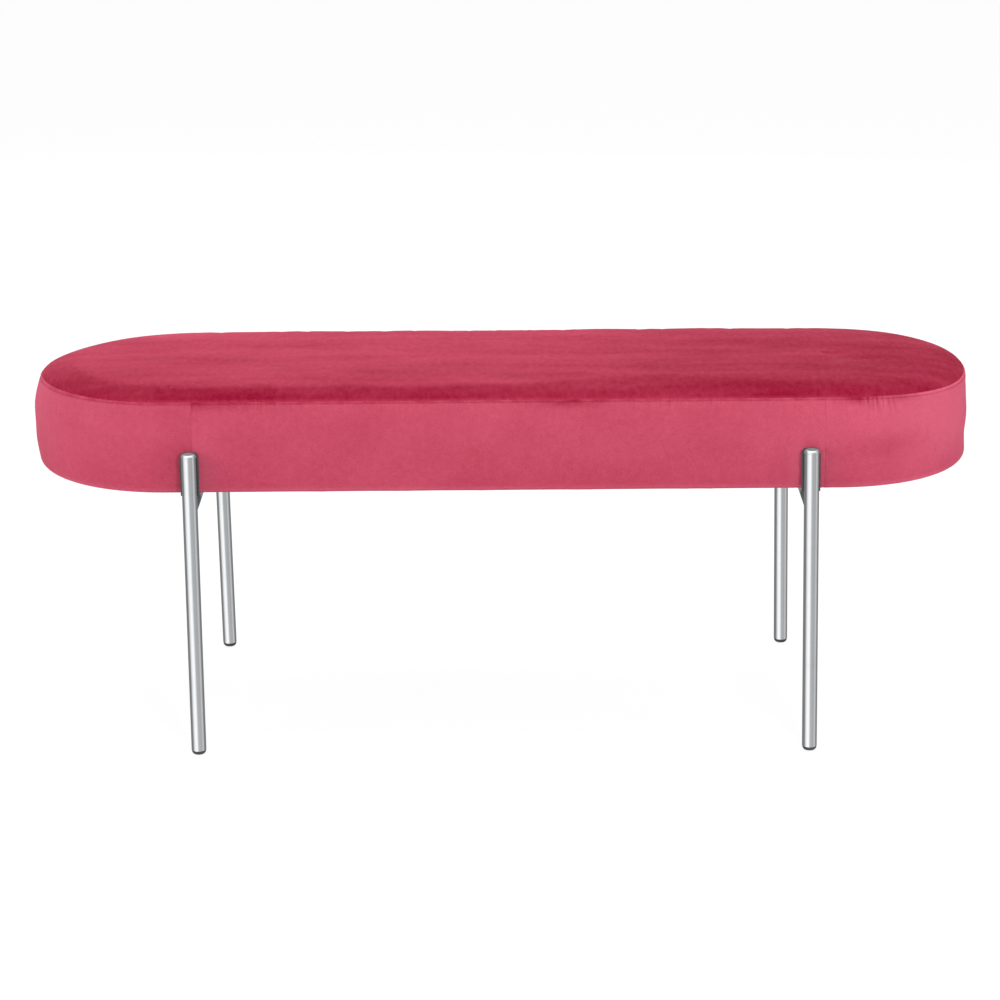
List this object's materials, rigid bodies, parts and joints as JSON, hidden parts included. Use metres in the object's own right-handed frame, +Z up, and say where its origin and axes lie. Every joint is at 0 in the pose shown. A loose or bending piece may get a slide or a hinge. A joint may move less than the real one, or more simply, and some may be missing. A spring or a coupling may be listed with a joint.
{
  "type": "upholstered bench",
  "caption": "Long padded bench with an oblong velvet seat with round ends, on slim upright bright steel tube legs that stand outside the seat.",
  "frame": {"origin": "on the floor, under the middle of the seat", "axes": "+X along the seat to its right-hand end seen from the front, +Y to the back, +Z up"},
  "size_m": [1.16, 0.413, 0.45],
  "materials": {
    "velvet": "matte",
    "wadding": "matte",
    "foam": "matte",
    "plywood": "matte",
    "dust_cloth": "matte",
    "chromed_tube": "polished",
    "plated_steel": "satin",
    "grey_plastic": "matte"
  },
  "bodies": {
    "root": {"base_board": "plywood", "foam_core": "foam", "comfort_layer": "foam", "wadding": "wadding", "cover_top": "velvet", "band_front": "velvet", "band_right": "velvet", "band_back": "velvet", "band_left": "velvet", "dust_cover": "dust_cloth", "left_rail": "chromed_tube", "right_rail": "chromed_tube", "front_left_leg": "chromed_tube", "front_left_leg_cap": "chromed_tube", "front_left_foot": "grey_plastic", "front_left_spacer": "grey_plastic", "front_left_plate": "plated_steel", "front_left_outer_bolt": "plated_steel", "front_left_outer_washer": "plated_steel", "front_left_outer_tee_nut": "plated_steel", "front_left_inner_bolt": "plated_steel", "front_left_inner_washer": "plated_steel", "front_left_inner_tee_nut": "plated_steel", "front_right_leg": "chromed_tube", "front_right_leg_cap": "chromed_tube", "front_right_foot": "grey_plastic", "front_right_spacer": "grey_plastic", "front_right_plate": "plated_steel", "front_right_outer_bolt": "plated_steel", "front_right_outer_washer": "plated_steel", "front_right_outer_tee_nut": "plated_steel", "front_right_inner_bolt": "plated_steel", "front_right_inner_washer": "plated_steel", "front_right_inner_tee_nut": "plated_steel", "rear_left_leg": "chromed_tube", "rear_left_leg_cap": "chromed_tube", "rear_left_foot": "grey_plastic", "rear_left_spacer": "grey_plastic", "rear_left_plate": "plated_steel", "rear_left_outer_bolt": "plated_steel", "rear_left_outer_washer": "plated_steel", "rear_left_outer_tee_nut": "plated_steel", "rear_left_inner_bolt": "plated_steel", "rear_left_inner_washer": "plated_steel", "rear_left_inner_tee_nut": "plated_steel", "rear_right_leg": "chromed_tube", "rear_right_leg_cap": "chromed_tube", "rear_right_foot": "grey_plastic", "rear_right_spacer": "grey_plastic", "rear_right_plate": "plated_steel", "rear_right_outer_bolt": "plated_steel", "rear_right_outer_washer": "plated_steel", "rear_right_outer_tee_nut": "plated_steel", "rear_right_inner_bolt": "plated_steel", "rear_right_inner_washer": "plated_steel", "rear_right_inner_tee_nut": "plated_steel"}
  },
  "joints": []
}
